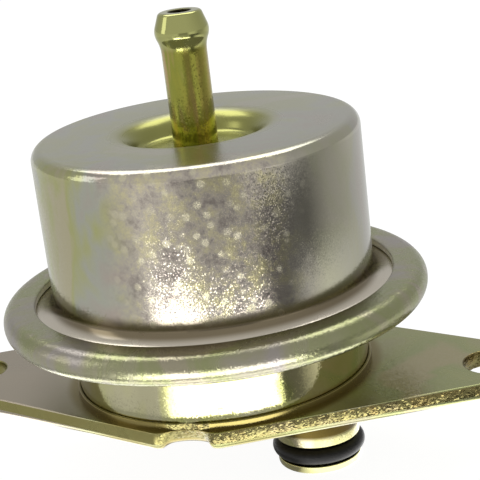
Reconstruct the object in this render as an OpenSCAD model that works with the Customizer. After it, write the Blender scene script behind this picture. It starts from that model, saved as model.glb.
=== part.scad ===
// Fuel pressure regulator with a two-bolt flange.
// Millimetres, +Z up, origin at the middle of the flange's underside on the body axis.
// The bolt holes lie along X, the notched side of the flange faces -Y.

/* [Mounting flange] */
// Distance between the two bolt holes
bolt_spacing = 64; // [60:0.5:76]
// Diameter of each bolt hole
bolt_hole_d = 7; // [5.5:0.1:8]
// Thickness of the flange plate
flange_t = 2; // [1.6:0.1:3]
// Distance from the axis to the corner where two long edges would meet
flange_half_w = 20.3; // [20:0.1:24]
// Radius of the rounded ends around the bolt holes
flange_end_r = 5.75; // [5.5:0.05:7]
// Radius of the shallow round notch in the front corner
notch_r = 3.6; // [3:0.1:4.5]
// Height of the raised round pad that carries the cup
pad_h = 0.45; // [0.3:0.05:1]

/* [Lower housing] */
// Outer radius of the fuel cup
cup_r = 17.3; // [16.5:0.1:17.8]
// Height of the cup from the pad to the underside of the rim
cup_h = 7.45; // [7.2:0.05:12]
// Outer radius of the rolled rim
rim_r = 25; // [24:0.1:28]
// Thickness of the drawn sheet of cup and cover
sheet_t = 1; // [0.8:0.05:1.1]
// Width of the cover's flange that shows between its foot and the rolled lip
lip_gap = 1.1; // [0.5:0.05:1.6]

/* [Spring cover] */
// Outer radius of the cover's wall
cover_r = 18.9; // [17.5:0.1:19.1]
// Height of the cover above the rolled rim
cover_h = 18.3; // [16.5:0.1:30]
// Outside radius of the cover's top edge
cover_top_bend = 1.4; // [1.2:0.1:4]
// Radius at which the flat top turns down into the dish
dish_r = 9.8; // [9:0.1:9.9]
// Depth of the dish
dish_depth = 2.4; // [2:0.1:2.8]

/* [Vacuum nipple] */
// Outer radius of the nipple's tube
nipple_r = 2.58; // [2.2:0.02:3]
// Height of the nipple's tip above the cover's top
nipple_h = 13.3; // [9:0.1:24]
// How far the barb stands out from the tube
barb_out = 0.55; // [0.2:0.05:0.9]
// Radius of the vacuum passage
nipple_bore_r = 1.2; // [0.6:0.05:1.6]

/* [Inlet spigot] */
// Distance of the spigot from the body axis
spigot_x = 10.5; // [9.5:0.1:11.2]
// Outer radius of the spigot's lands
spigot_r = 5; // [4.7:0.05:5.4]
// How far the spigot stands out below the flange
spigot_len = 9.9; // [7:0.1:16]
// Thickness of the O-ring's section
o_ring_section = 2; // [1.6:0.05:2.2]
// Radius of the inlet passage
inlet_bore_r = 2.2; // [1.2:0.05:2.5]

/* [Valve] */
// Radius of the valve ball
ball_r = 3; // [2.8:0.05:3.1]
// Radius of the passage through the valve seat
seat_bore_r = 1.5; // [0.8:0.05:1.6]
// Radius of the return port in the flange
return_port_r = 4; // [3.5:0.05:4.4]
// Thickness of the diaphragm
diaphragm_t = 0.5; // [0.4:0.05:0.7]

/* [Main spring] */
// Mean radius of the spring's coils
spring_mean_r = 11.1; // [11:0.05:11.4]
// Diameter of the spring wire
spring_wire_d = 2.2; // [1.6:0.1:2.4]
// Number of turns with the two closed ends
spring_turns = 6.5; // [5:0.5:7]

/* [Hidden] */
$fn = 96;

// Clearances between pieces
fit_gap = 0.02;
stem_gap = 0.05;
ball_gap = 0.05;
coil_gap = 0.03;
clamp_gap = 0.1;
spring_side_gap = 0.9;
cut = 1;

// Steps of the arcs and coils
bend_steps = 9;
end_steps = 36;
corner_steps = 12;
notch_steps = 24;
coil_steps = 24;
ball_coil_steps = 16;
wire_sides = 8;

// Levels from the flange upwards
pad_z = flange_t + pad_h;
pad_margin = 0.35;
pad_r = cup_r + pad_margin;
floor_top = pad_z + sheet_t;
ledge_z = pad_z + cup_h;
clamp_z = ledge_z + sheet_t;
cover_flange_z = clamp_z + diaphragm_t;
lip_z = cover_flange_z + sheet_t;
rim_top = lip_z + sheet_t;
cover_top = rim_top + cover_h;
ceiling_z = cover_top - sheet_t;
dish_z = cover_top - dish_depth;

// Roundings of the drawn sheet
cup_inner_bend = 0.15;
ledge_fillet = 0.8;
rim_side_flat = 0.1;
cover_fillet = 1.1;
dish_lip_round = 2.8;
dish_fillet = 0.9;
dish_slope = 65;
top_flat = 1;

// Bends of the drawn sheet, measured at the middle of the sheet
cup_bottom_bend = cup_inner_bend + sheet_t / 2;
ledge_bend = ledge_fillet + sheet_t / 2;
rim_bend = (lip_z - clamp_z + sheet_t - rim_side_flat) / 2;
cover_foot_bend = cover_fillet + sheet_t / 2;
dish_lip_bend = dish_lip_round - sheet_t / 2;
dish_floor_bend = dish_fillet + sheet_t / 2;

// Edge of the clamped layers inside the rolled rim, and inner edge of its lip
clamp_r = rim_r - sheet_t / 2 - rim_bend - clamp_gap;
lip_in_r = cover_r - sheet_t / 2 + cover_foot_bend + lip_gap;

// The diaphragm hangs below its clamped edge while the valve is closed
diaphragm_drop = 1.2;
diaphragm_roll = 2;
disc_margin = 0.4;
wall_margin = 0.1;
disc_z = clamp_z - diaphragm_drop;
disc_top = disc_z + diaphragm_t;
washer_t = 0.8;
washer_edge = 0.3;
washer_z = disc_z - washer_t;
washer_r = 11.5;
seat_plate_t = 1;
seat_plate_top = disc_top + seat_plate_t;
seat_plate_r = spring_mean_r + spring_wire_d / 2 + spring_side_gap + seat_plate_t;
seat_plate_h = 3;

// The valve: ball, holder and seat
flat_share = 0.7;
flat_drop = flat_share * ball_r;
flat_proud = 0.1;
ball_drop = 0.9;
ball_z = washer_z - ball_drop;
flat_z = ball_z - flat_drop;
holder_bottom = flat_z + flat_proud;
ring_inset = 0.05;
ring_z = holder_bottom + ring_inset;
ring_t = 0.4;
ring_top = ring_z + ring_t + stem_gap;
ring_share = 0.92;
ring_in = ring_share * ball_r;
ring_seat_w = 0.75;
ring_out = ball_r + ring_seat_w;
holder_wall = 0.85;
holder_r = ring_out + holder_wall;
holder_flange_t = 0.8;
holder_flange_w = 1.9;
holder_flange_r = holder_r + holder_flange_w;
stem_wall = 1;
stem_r = ball_r + stem_wall;
rivet_w = 1.2;
rivet_r = stem_r + rivet_w;
rivet_t = 1.2;
rivet_crown_h = 1;
rivet_crown_in = 0.6;
rivet_top = seat_plate_top + rivet_t + rivet_crown_h;
spring_bore_r = 1.6;
spring_bore_roof = 0.6;
spring_bore_top = rivet_top - spring_bore_roof;
land_w = 0.35;
land_r = seat_bore_r + land_w;
seat_tube_inset = 0.8;
seat_tube_r = return_port_r - seat_tube_inset;
seat_shoulder_w = 1.2;
seat_shoulder_r = seat_tube_r + seat_shoulder_w;
seat_shoulder_t = 0.9;

// Small spring behind the ball
ball_wire_d = 0.36;
ball_coil_r = 1.25;
ball_turns = 4;
ball_spring_foot = ball_z + sqrt(pow(ball_r, 2) - pow(ball_coil_r - ball_wire_d / 2, 2)) + coil_gap;
ball_spring_head = spring_bore_top - coil_gap;

// Spigot and O-ring
groove_w_share = 1.2;
groove_depth_share = 0.735;
groove_w = groove_w_share * o_ring_section;
foot_land = 0.95;
groove_bottom = foot_land - spigot_len;
groove_top = groove_bottom + groove_w;
groove_r = spigot_r - groove_depth_share * o_ring_section;
o_ring_r = groove_r + fit_gap + o_ring_section / 2;
o_ring_z = (groove_bottom + groove_top) / 2;
shank_r = 3.6;
shank_chamfer = 0.4;
shank_top = floor_top + 2 * shank_chamfer;
spigot_chamfer = 0.35;

// Nipple
nipple_foot_w = 1.6;
nipple_foot_r = nipple_r + nipple_foot_w;
nipple_foot_t = 0.8;
nipple_foot_z = dish_z - sheet_t - nipple_foot_t;
nipple_tip = cover_top + nipple_h;
nipple_chamfer = 0.25;
barb_r = nipple_r + barb_out;
tip_taper = 0.22;
tip_r = nipple_r - tip_taper;
barb_neck_down = 3.8;
barb_low_down = 2.55;
barb_high_down = 2.1;

// Outline of the flange
hole_x = bolt_spacing / 2;
corner_dist = norm([hole_x, flange_half_w]);
edge_angle = atan2(flange_half_w, hole_x) - asin(flange_end_r / corner_dist);
rear_r = 6;
rear_y = flange_half_w - rear_r / cos(edge_angle);
shoulder_r = 1.7;
notch_cup_gap = 0.05;
notch_y = -(cup_r + notch_cup_gap + notch_r);
edge_dir = [cos(edge_angle), sin(edge_angle)];
edge_in = [-sin(edge_angle), cos(edge_angle)];
from_notch = [0, -flange_half_w - notch_y] + shoulder_r * edge_in;
along = from_notch * edge_dir;
shoulder_s = sqrt(pow(along, 2) - from_notch * from_notch + pow(notch_r + shoulder_r, 2)) - along;
shoulder = [0, -flange_half_w] + shoulder_s * edge_dir + shoulder_r * edge_in;
notch_turn = atan2(shoulder[1] - notch_y, shoulder[0]);

// Points of an arc, n steps from angle a to angle b
function arc(c, r, a, b, n) = [for (i = [0:n]) c + r * [cos(a + (b - a) * i / n), sin(a + (b - a) * i / n)]];

// Helpers for a sheet that is drawn as a path of corners [r, z, bend radius]
function flat(p) = [p[0], p[1]];
function unit(v) = v / norm(v);
function leftward(v) = [-v[1], v[0]];
function turn(a, b) = atan2(a[0] * b[1] - a[1] * b[0], a * b);
function way(path, i) = unit(flat(path[i + 1]) - flat(path[i]));
function setback(path, i) =
    i == 0 || i == len(path) - 1 ? 0
    : path[i][2] * tan(abs(turn(way(path, i - 1), way(path, i))) / 2);

// One straight stretch of sheet
module run(a, b, t) {
    side = leftward(unit(b - a)) * t / 2;
    polygon([a + side, b + side, b - side, a - side]);
}

// One bend of sheet around c, from angle a over a sweep of s degrees
module bend(c, r, t, a, s) {
    reach = 2 * (r + t);
    intersection() {
        difference() {
            translate(c) circle(r + t / 2);
            translate(c) circle(r - t / 2);
        }
        polygon([c,
                 c + reach * [cos(a), sin(a)],
                 c + reach * [cos(a + s / 2), sin(a + s / 2)],
                 c + reach * [cos(a + s), sin(a + s)]]);
    }
}

// A whole drawn sheet, turned around the axis: straight stretches joined by bends
module sheet(path, t) {
    last = len(path) - 1;
    for (i = [0:last - 1]) {
        d = way(path, i);
        rotate_extrude()
            run(flat(path[i]) + d * setback(path, i), flat(path[i + 1]) - d * setback(path, i + 1), t);
    }
    for (i = [1:last - 1]) {
        d = way(path, i - 1);
        sweep = turn(d, way(path, i));
        start = flat(path[i]) - d * setback(path, i);
        centre = start + leftward(d) * path[i][2] * sign(sweep);
        spoke = start - centre;
        rotate_extrude()
            bend(centre, path[i][2], t, atan2(spoke[1], spoke[0]), sweep);
    }
}

// One side of a sheet as points, side 1 to the left of the path and -1 to the right
function edge_of(path, t, side, steps) = [for (i = [0:len(path) - 1])
    let (last = i == len(path) - 1,
         d = way(path, last ? i - 1 : max(0, i - 1)),
         sweep = last || i == 0 ? 0 : turn(d, way(path, i)),
         start = flat(path[i]) - d * setback(path, i),
         hub = sweep == 0 ? [0, 0] : start + leftward(d) * path[i][2] * sign(sweep),
         spoke = start - hub)
    for (q = sweep == 0 ? [start + leftward(d) * side * t / 2]
             : arc(hub, path[i][2] - side * sign(sweep) * t / 2, atan2(spoke[1], spoke[0]),
                   atan2(spoke[1], spoke[0]) + sweep, steps)) q];

// A drawn sheet with slanted stretches, as one closed outline turned around the axis
module slanted_sheet(path, t) {
    back = edge_of(path, t, -1, bend_steps);
    rotate_extrude()
        polygon(concat(edge_of(path, t, 1, bend_steps), [for (i = [len(back) - 1:-1:0]) back[i]]));
}

// Height of a coil's middle after u turns: closed turn, open turns, closed turn
function coil_z(u, turns, h, d) =
    let (tip = 0.2 * d, closed = 1.22 * d)
    u < 1 ? tip + (closed - tip) * u
    : u > turns - 1 ? h - tip - (closed - tip) * (turns - u)
    : closed + (h - 2 * closed) * (u - 1) / (turns - 2);

// Compression spring with closed and ground ends, standing on z = 0
module coil_spring(r, d, h, turns, steps, sides) {
    rings = round(turns * steps);
    points = [for (i = [0:rings], k = [0:sides - 1])
        let (u = i / steps, a = 360 * u, b = 360 * (k + 0.5) / sides, out = r + d / 2 * cos(b))
        [out * cos(a), out * sin(a), min(h, max(0, coil_z(u, turns, h, d) + d / 2 * sin(b)))]];
    walls = [for (i = [0:rings - 1], k = [0:sides - 1])
        let (n = (k + 1) % sides)
        for (f = [[i * sides + k, i * sides + n, (i + 1) * sides + k],
                  [i * sides + n, (i + 1) * sides + n, (i + 1) * sides + k]]) f];
    foot = [for (k = [sides - 1:-1:0]) k];
    head = [for (k = [0:sides - 1]) rings * sides + k];
    polyhedron(points, concat(walls, [foot], [head]), convexity = 10);
}

// Rhombic plate with rounded ends, a plain rear corner and a notched front corner
module flange_outline() {
    difference() {
        polygon(concat(
            arc([hole_x, 0], flange_end_r, edge_angle - 90, 90 - edge_angle, end_steps),
            arc([0, rear_y], rear_r, 90 - edge_angle, 90 + edge_angle, corner_steps),
            arc([-hole_x, 0], flange_end_r, 90 + edge_angle, 270 - edge_angle, end_steps),
            arc([-shoulder[0], shoulder[1]], shoulder_r, 270 - edge_angle, 360 - notch_turn, corner_steps),
            arc([0, notch_y], notch_r, 180 - notch_turn, notch_turn, notch_steps),
            arc(shoulder, shoulder_r, 180 + notch_turn, 270 + edge_angle, corner_steps)));
        for (side = [-1, 1])
            translate([side * hole_x, 0]) circle(d = bolt_hole_d);
        circle(return_port_r);
        translate([spigot_x, 0]) circle(shank_r);
    }
}

module mounting_flange() {
    color("#a79a5c") {
        linear_extrude(flange_t) flange_outline();
        translate([0, 0, flange_t])
            linear_extrude(pad_h)
                intersection() {
                    flange_outline();
                    circle(pad_r);
                }
    }
}

module lower_housing() {
    color("#b3ab78")
        difference() {
            sheet([[seat_tube_r, pad_z + sheet_t / 2],
                   [cup_r - sheet_t / 2, pad_z + sheet_t / 2, cup_bottom_bend],
                   [cup_r - sheet_t / 2, ledge_z + sheet_t / 2, ledge_bend],
                   [rim_r - sheet_t / 2, ledge_z + sheet_t / 2, rim_bend],
                   [rim_r - sheet_t / 2, lip_z + sheet_t / 2, rim_bend],
                   [lip_in_r, lip_z + sheet_t / 2]], sheet_t);
            translate([spigot_x, 0, pad_z - cut]) cylinder(h = sheet_t + 2 * cut, r = shank_r);
        }
}

module spring_cover() {
    dish_top_r = dish_r - dish_lip_bend * tan(dish_slope / 2);
    dish_low_r = dish_top_r - dish_depth / tan(dish_slope);
    flat_r = dish_r + top_flat;
    color("#c9c7b4") {
        slanted_sheet([[nipple_r, dish_z - sheet_t / 2],
                       [dish_low_r, dish_z - sheet_t / 2, dish_floor_bend],
                       [dish_top_r, ceiling_z + sheet_t / 2, dish_lip_bend],
                       [flat_r, ceiling_z + sheet_t / 2]], sheet_t);
        sheet([[flat_r, ceiling_z + sheet_t / 2],
               [cover_r - sheet_t / 2, ceiling_z + sheet_t / 2, cover_top_bend - sheet_t / 2],
               [cover_r - sheet_t / 2, cover_flange_z + sheet_t / 2, cover_foot_bend],
               [clamp_r, cover_flange_z + sheet_t / 2]], sheet_t);
    }
}

module vacuum_nipple() {
    color("#a89a3c")
        rotate_extrude()
            polygon([[nipple_bore_r, nipple_foot_z],
                     [nipple_foot_r, nipple_foot_z],
                     [nipple_foot_r, nipple_foot_z + nipple_foot_t],
                     [nipple_r, nipple_foot_z + nipple_foot_t],
                     [nipple_r, nipple_tip - barb_neck_down],
                     [barb_r, nipple_tip - barb_low_down],
                     [barb_r, nipple_tip - barb_high_down],
                     [tip_r + nipple_chamfer / 2, nipple_tip - nipple_chamfer],
                     [tip_r - nipple_chamfer / 2, nipple_tip],
                     [nipple_bore_r + nipple_chamfer, nipple_tip],
                     [nipple_bore_r, nipple_tip - nipple_chamfer]]);
}

module inlet_spigot() {
    color("#b89a48")
        translate([spigot_x, 0, 0])
            rotate_extrude()
                polygon([[inlet_bore_r, -spigot_len],
                         [spigot_r - spigot_chamfer, -spigot_len],
                         [spigot_r, spigot_chamfer - spigot_len],
                         [spigot_r, groove_bottom],
                         [groove_r, groove_bottom],
                         [groove_r, groove_top],
                         [spigot_r, groove_top],
                         [spigot_r, 0],
                         [shank_r, 0],
                         [shank_r, shank_top - shank_chamfer],
                         [shank_r - shank_chamfer, shank_top],
                         [inlet_bore_r, shank_top]]);
}

module spigot_o_ring() {
    color("#1c1c1c")
        translate([spigot_x, 0, o_ring_z])
            rotate_extrude()
                translate([o_ring_r, 0]) circle(d = o_ring_section);
}

module main_spring() {
    color("#8f8f8f")
        translate([0, 0, seat_plate_top])
            coil_spring(spring_mean_r, spring_wire_d, ceiling_z - seat_plate_top,
                        spring_turns, coil_steps, wire_sides);
}

module spring_seat() {
    color("#a9a9a0")
        sheet([[stem_r + stem_gap, disc_top + seat_plate_t / 2],
               [seat_plate_r - seat_plate_t / 2, disc_top + seat_plate_t / 2, seat_plate_t],
               [seat_plate_r - seat_plate_t / 2, disc_top + seat_plate_h]], seat_plate_t);
}

module diaphragm() {
    mid = diaphragm_t / 2;
    color("#2a2a2c")
        slanted_sheet([[stem_r + stem_gap, disc_z + mid],
                       [seat_plate_r - disc_margin, disc_z + mid, diaphragm_roll],
                       [cup_r - sheet_t - wall_margin, clamp_z + mid, diaphragm_roll],
                       [clamp_r, clamp_z + mid]], diaphragm_t);
}

module diaphragm_washer() {
    color("#a9a9a0")
        rotate_extrude()
            polygon([[stem_r + stem_gap, washer_z],
                     [washer_r - washer_edge, washer_z],
                     [washer_r, washer_z + washer_edge],
                     [washer_r, disc_z],
                     [stem_r + stem_gap, disc_z]]);
}

module valve_holder() {
    color("#b0a878")
        difference() {
            rotate_extrude()
                polygon([[0, holder_bottom],
                         [holder_r, holder_bottom],
                         [holder_r, washer_z - holder_flange_t],
                         [holder_flange_r, washer_z - holder_flange_t],
                         [holder_flange_r, washer_z],
                         [stem_r, washer_z],
                         [stem_r, seat_plate_top],
                         [rivet_r, seat_plate_top],
                         [rivet_r, seat_plate_top + rivet_t / 2],
                         [rivet_r - rivet_t / 2, seat_plate_top + rivet_t],
                         [stem_r - rivet_crown_in, rivet_top],
                         [0, rivet_top]]);
            translate([0, 0, holder_bottom - cut]) cylinder(h = ring_top - holder_bottom + cut, r = ring_out);
            translate([0, 0, holder_bottom - cut])
                cylinder(h = ball_z - holder_bottom + cut, r = ball_r + ball_gap);
            translate([0, 0, ball_z]) sphere(ball_r + ball_gap);
            translate([0, 0, ball_z]) cylinder(h = spring_bore_top - ball_z, r = spring_bore_r);
        }
}

module valve_ball() {
    color("#c4c4c4")
        translate([0, 0, ball_z])
            difference() {
                sphere(ball_r);
                translate([0, 0, -flat_drop - ball_r]) cylinder(h = ball_r, r = ball_r + cut);
            }
}

module ball_spring() {
    color("#8f8f8f")
        translate([0, 0, ball_spring_foot])
            coil_spring(ball_coil_r, ball_wire_d, ball_spring_head - ball_spring_foot,
                        ball_turns, ball_coil_steps, wire_sides);
}

module ball_retainer() {
    color("#9a9a92")
        translate([0, 0, ring_z])
            difference() {
                cylinder(h = ring_t, r = ring_out - fit_gap);
                translate([0, 0, -cut]) cylinder(h = ring_t + 2 * cut, r = ring_in);
            }
}

module valve_seat() {
    color("#b0a878")
        rotate_extrude()
            polygon([[seat_bore_r, pad_z],
                     [seat_tube_r, pad_z],
                     [seat_tube_r, floor_top],
                     [seat_shoulder_r, floor_top],
                     [seat_shoulder_r, floor_top + seat_shoulder_t],
                     [seat_tube_r, floor_top + seat_shoulder_t],
                     [land_r, flat_z],
                     [seat_bore_r, flat_z]]);
}

mounting_flange();
lower_housing();
spring_cover();
vacuum_nipple();
inlet_spigot();
spigot_o_ring();
main_spring();
spring_seat();
diaphragm();
diaphragm_washer();
valve_holder();
valve_ball();
ball_spring();
ball_retainer();
valve_seat();
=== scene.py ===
"""Fuel pressure regulator: zinc-plated, yellow-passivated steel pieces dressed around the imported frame."""
import math

import bmesh
import bpy
from mathutils import Matrix, Vector
from mathutils.geometry import tessellate_polygon


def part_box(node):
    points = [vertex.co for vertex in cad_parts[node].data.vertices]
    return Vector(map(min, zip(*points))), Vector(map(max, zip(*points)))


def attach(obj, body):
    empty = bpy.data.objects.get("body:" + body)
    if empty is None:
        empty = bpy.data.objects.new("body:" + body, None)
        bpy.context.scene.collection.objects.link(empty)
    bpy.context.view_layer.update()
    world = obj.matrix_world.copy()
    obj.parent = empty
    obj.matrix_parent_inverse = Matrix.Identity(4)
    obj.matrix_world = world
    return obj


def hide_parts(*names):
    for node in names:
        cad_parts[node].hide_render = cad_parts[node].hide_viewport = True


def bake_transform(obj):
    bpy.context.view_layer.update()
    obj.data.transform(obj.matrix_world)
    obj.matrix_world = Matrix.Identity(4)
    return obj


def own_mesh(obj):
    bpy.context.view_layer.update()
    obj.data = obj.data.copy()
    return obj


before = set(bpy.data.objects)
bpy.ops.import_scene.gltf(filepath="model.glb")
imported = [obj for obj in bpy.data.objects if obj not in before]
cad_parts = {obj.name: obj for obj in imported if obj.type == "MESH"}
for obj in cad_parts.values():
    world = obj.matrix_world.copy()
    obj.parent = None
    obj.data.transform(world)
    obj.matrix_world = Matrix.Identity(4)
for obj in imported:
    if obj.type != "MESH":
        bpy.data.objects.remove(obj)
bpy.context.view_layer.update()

MM = 0.001


def corners(node_name):
    """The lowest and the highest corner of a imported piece, in millimetres."""
    return [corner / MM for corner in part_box(node_name)]


FLANGE_HI = corners("mounting_flange")[1]
HOUSING_HI = corners("lower_housing")[1]
COVER_LO, COVER_HI = corners("spring_cover")
NIPPLE_LO, NIPPLE_HI = corners("vacuum_nipple")
SPIGOT_LO, SPIGOT_HI = corners("inlet_spigot")
RING_LO, RING_HI = corners("spigot_o_ring")
SPRING_LO, SPRING_HI = corners("main_spring")
DISC_LO, DISC_HI = corners("diaphragm")

# Sizes in millimetres that more than one piece needs
SHEET = 1.0
CUP_R = 17.3
COVER_R = 18.9
NIPPLE_R = 2.58
SHANK_R = 3.6
DIAPHRAGM_T = 0.5
CLEARANCE = 0.01

# Levels and places in millimetres
PAD_H = 0.45
PAD_Z = FLANGE_HI.z
FLANGE_T = PAD_Z - PAD_H
RIM_R = HOUSING_HI.x
LIP_Z = HOUSING_HI.z - SHEET
CLAMP_Z = COVER_LO.z - DIAPHRAGM_T
LEDGE_Z = CLAMP_Z - SHEET
COVER_TOP = COVER_HI.z
SPIGOT_X = (SPIGOT_LO.x + SPIGOT_HI.x) / 2


# Materials

def linear(hex_code):
    """Linear RGBA from an sRGB hex code."""
    parts = [int(hex_code[i:i + 2], 16) / 255 for i in (1, 3, 5)]
    return tuple(c / 12.92 if c <= 0.04045 else ((c + 0.055) / 1.055) ** 2.4 for c in parts) + (1.0,)


def node(tree, kind, settings=None, stops=(), **inputs):
    """Adds a node: its properties, colour stops and inputs, which are set or linked by name or number (i0)."""
    made = tree.nodes.new(kind)
    for key, value in (settings or {}).items():
        setattr(made, key, value)
    if stops:
        bar = made.color_ramp.elements
        while len(bar) < len(stops):
            bar.new(1.0)
        for stop, (place, tint) in zip(bar, stops):
            stop.position, stop.color = place, tint
    for key, value in inputs.items():
        at = int(key[1:]) if key[0] == "i" and key[1:].isdigit() else key.replace("_", " ")
        if isinstance(value, bpy.types.NodeSocket):
            tree.links.new(value, made.inputs[at])
        else:
            made.inputs[at].default_value = value
    return made


def new_material(name):
    """An empty material and its node tree."""
    made = bpy.data.materials.new(name)
    made.use_nodes = True
    made.node_tree.nodes.clear()
    return made, made.node_tree


def per(size_mm):
    """Texture scale, in 1/m, whose features are about size_mm wide."""
    return 1 / (size_mm * MM)


# Directions of zones, seen from the body's axis
UP = (0, 0, 1)
NOTCH_SIDE = (0.3, -0.954, 0)
SPIGOT_SIDE = (0.98, -0.2, 0)
LEFT_END = (-1, 0, 0)


def zone_share(tree, where, way, start, end, most=1.0):
    """Share of a zone, rising to most from start to end, in mm along a direction or, for "r", off the axis."""
    if way == "r":
        level = node(tree, "ShaderNodeVectorMath", {"operation": "MULTIPLY"}, i0=where,
                     i1=(1, 1, 0)).outputs[0]
        reach = node(tree, "ShaderNodeVectorMath", {"operation": "LENGTH"}, i0=level).outputs["Value"]
    else:
        reach = node(tree, "ShaderNodeVectorMath", {"operation": "DOT_PRODUCT"}, i0=where,
                     i1=way).outputs["Value"]
    return node(tree, "ShaderNodeMapRange", {"interpolation_type": "SMOOTHSTEP"}, Value=reach,
                From_Min=start * MM, From_Max=end * MM, To_Max=most).outputs["Result"]


STAIN_MM = 2.6
STAIN_STOPS = (0.36, 0.48, 0.64)
MARK_EDGE = (0.4, 0.2)
MARK_PICK = (0.25, 0.6)
MARK_STRENGTH = 0.65
MARK_DULLING = 0.2


def water_marks(tree, where, tint, dullness, width, wet_zone, mark_tint, stains):
    """The tint and dullness with dried drops, about width mm apart, over cloudy stains in the wet zone."""
    wet = zone_share(tree, where, *wet_zone)
    cloud = node(tree, "ShaderNodeTexNoise", Vector=where, Scale=per(STAIN_MM), Detail=6.0,
                 Roughness=0.72).outputs["Fac"]
    stain = node(tree, "ShaderNodeValToRGB", stops=list(zip(STAIN_STOPS, map(linear, stains))),
                 Fac=cloud).outputs["Color"]
    tint = node(tree, "ShaderNodeMix", {"data_type": "RGBA"}, i0=wet, i6=tint, i7=stain).outputs[2]
    drop = node(tree, "ShaderNodeTexVoronoi", Vector=where, Scale=per(width))
    disc = node(tree, "ShaderNodeMapRange", {"interpolation_type": "SMOOTHSTEP"},
                Value=drop.outputs["Distance"], From_Min=MARK_EDGE[0], From_Max=MARK_EDGE[1]).outputs["Result"]
    # Each drop has its own strength, and some are too faint to show
    strength = node(tree, "ShaderNodeMapRange", Value=drop.outputs["Color"], From_Min=MARK_PICK[0],
                    From_Max=MARK_PICK[1], To_Max=MARK_STRENGTH).outputs["Result"]
    mark = node(tree, "ShaderNodeMath", {"operation": "MULTIPLY"}, i0=disc, i1=strength).outputs[0]
    mark = node(tree, "ShaderNodeMath", {"operation": "MULTIPLY"}, i0=mark, i1=wet).outputs[0]
    tint = node(tree, "ShaderNodeMix", {"data_type": "RGBA"}, i0=mark, i6=tint,
                i7=linear(mark_tint)).outputs[2]
    dullness = node(tree, "ShaderNodeMath", {"operation": "MULTIPLY_ADD"}, i0=mark, i1=MARK_DULLING,
                    i2=dullness).outputs[0]
    return tint, dullness


FULL_LEAN = 0.5


def crystal_facing(tree, where, crystal_mm, streak, sparkle):
    """Normals of the surface's crystals. Their lean is cubed, so most lie nearly level and a few glint."""
    drawn = node(tree, "ShaderNodeVectorMath", {"operation": "MULTIPLY"}, i0=where,
                 i1=(1, 1, 1 / streak)).outputs[0]
    crystal = node(tree, "ShaderNodeTexVoronoi", Vector=drawn, Scale=per(crystal_mm)).outputs["Color"]
    lean = node(tree, "ShaderNodeVectorMath", {"operation": "SUBTRACT"}, i0=crystal,
                i1=(FULL_LEAN, FULL_LEAN, FULL_LEAN)).outputs[0]
    square = node(tree, "ShaderNodeVectorMath", {"operation": "MULTIPLY"}, i0=lean, i1=lean).outputs[0]
    lean = node(tree, "ShaderNodeVectorMath", {"operation": "MULTIPLY"}, i0=lean, i1=square).outputs[0]
    lean = node(tree, "ShaderNodeVectorMath", {"operation": "SCALE"}, i0=lean, Scale=sparkle).outputs[0]
    level = node(tree, "ShaderNodeNewGeometry").outputs["Normal"]
    facing = node(tree, "ShaderNodeVectorMath", {"operation": "ADD"}, i0=lean, i1=level).outputs[0]
    return node(tree, "ShaderNodeVectorMath", {"operation": "NORMALIZE"}, i0=facing).outputs[0]


FILM_STOPS = (0.36, 0.44, 0.50, 0.56, 0.64)
DULL_STOPS = (0.3, 0.7)
DULL_DRIFT = 0.2
SWELL_MM = 5


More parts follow.
